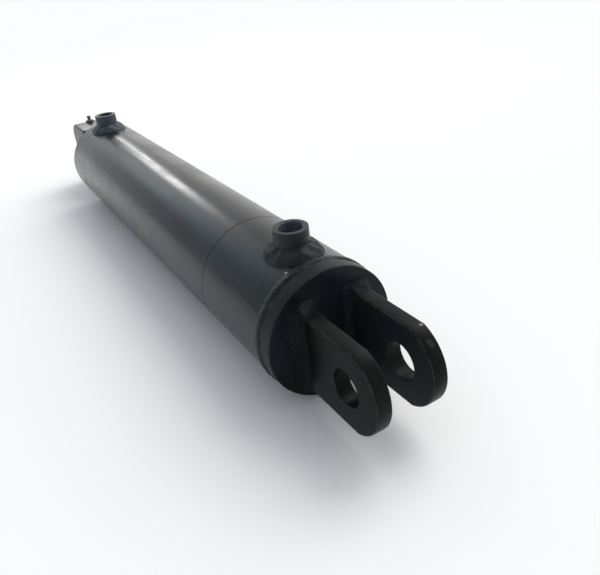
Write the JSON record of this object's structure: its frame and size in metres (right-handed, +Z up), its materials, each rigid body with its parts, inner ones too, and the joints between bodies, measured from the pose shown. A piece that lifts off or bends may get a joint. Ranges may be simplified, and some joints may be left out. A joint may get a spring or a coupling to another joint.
{
  "type": "clevis hydraulic cylinder",
  "caption": "Double-acting hydraulic cylinder: welded round barrel, clevis ears on the base cap, port bosses on top, and a rod with an eye that slides and turns.",
  "frame": {"origin": "the middle of the base pin hole, halfway between the two ears", "axes": "+X along the barrel to the rod end, +Z up through both ports, +Y along the base pin so that the frame is right-handed"},
  "size_m": [0.8514, 0.1167, 0.1348],
  "materials": {
    "black_paint": "glossy black paint",
    "painted_weld": "black paint over a rippled weld",
    "cast_iron": "turned",
    "machined_steel": "turned",
    "spring_steel": "oiled",
    "chrome_plate": "ground and plated",
    "zinc_plate": "zinc plated",
    "blue_polyurethane": "moulded",
    "bronze_filled_ptfe": "moulded",
    "green_phenolic": "woven filler",
    "black_rubber": "moulded"
  },
  "bodies": {
    "barrel": {"barrel_tube": "black_paint", "base_cap": "black_paint", "cap_weld_bead": "painted_weld", "base_ear_left": "black_paint", "base_ear_left_weld": "painted_weld", "base_ear_right": "black_paint", "base_ear_right_weld": "painted_weld", "base_port_boss": "black_paint", "base_port_weld": "painted_weld", "rod_end_port_boss": "black_paint", "rod_end_port_weld": "painted_weld", "gland": "cast_iron", "gland_retaining_ring": "spring_steel", "gland_o_ring": "black_rubber", "gland_backup_ring": "blue_polyurethane", "rod_guide_ring": "green_phenolic", "rod_buffer_seal": "bronze_filled_ptfe", "rod_seal": "blue_polyurethane", "rod_wiper": "black_rubber"},
    "piston_rings": {"piston_guide_ring_rear": "green_phenolic", "piston_guide_ring_front": "green_phenolic", "piston_seal": "bronze_filled_ptfe", "piston_seal_energiser": "black_rubber"},
    "rod": {"piston_rod": "chrome_plate", "piston": "cast_iron", "piston_o_ring": "black_rubber", "piston_nut": "machined_steel", "rod_eye": "black_paint", "rod_eye_weld": "painted_weld", "grease_nipple": "zinc_plate"}
  },
  "joints": [
    {"name": "rod_slide", "type": "slide", "parent": "barrel", "child": "piston_rings", "axis": [1, 0, 0], "range_m": [0, 0.4572]},
    {"name": "rod_turn", "type": "hinge", "parent": "piston_rings", "child": "rod", "pos_m": [0.1466, 0, 0], "axis": [1, 0, 0], "continuous": true}
  ]
}
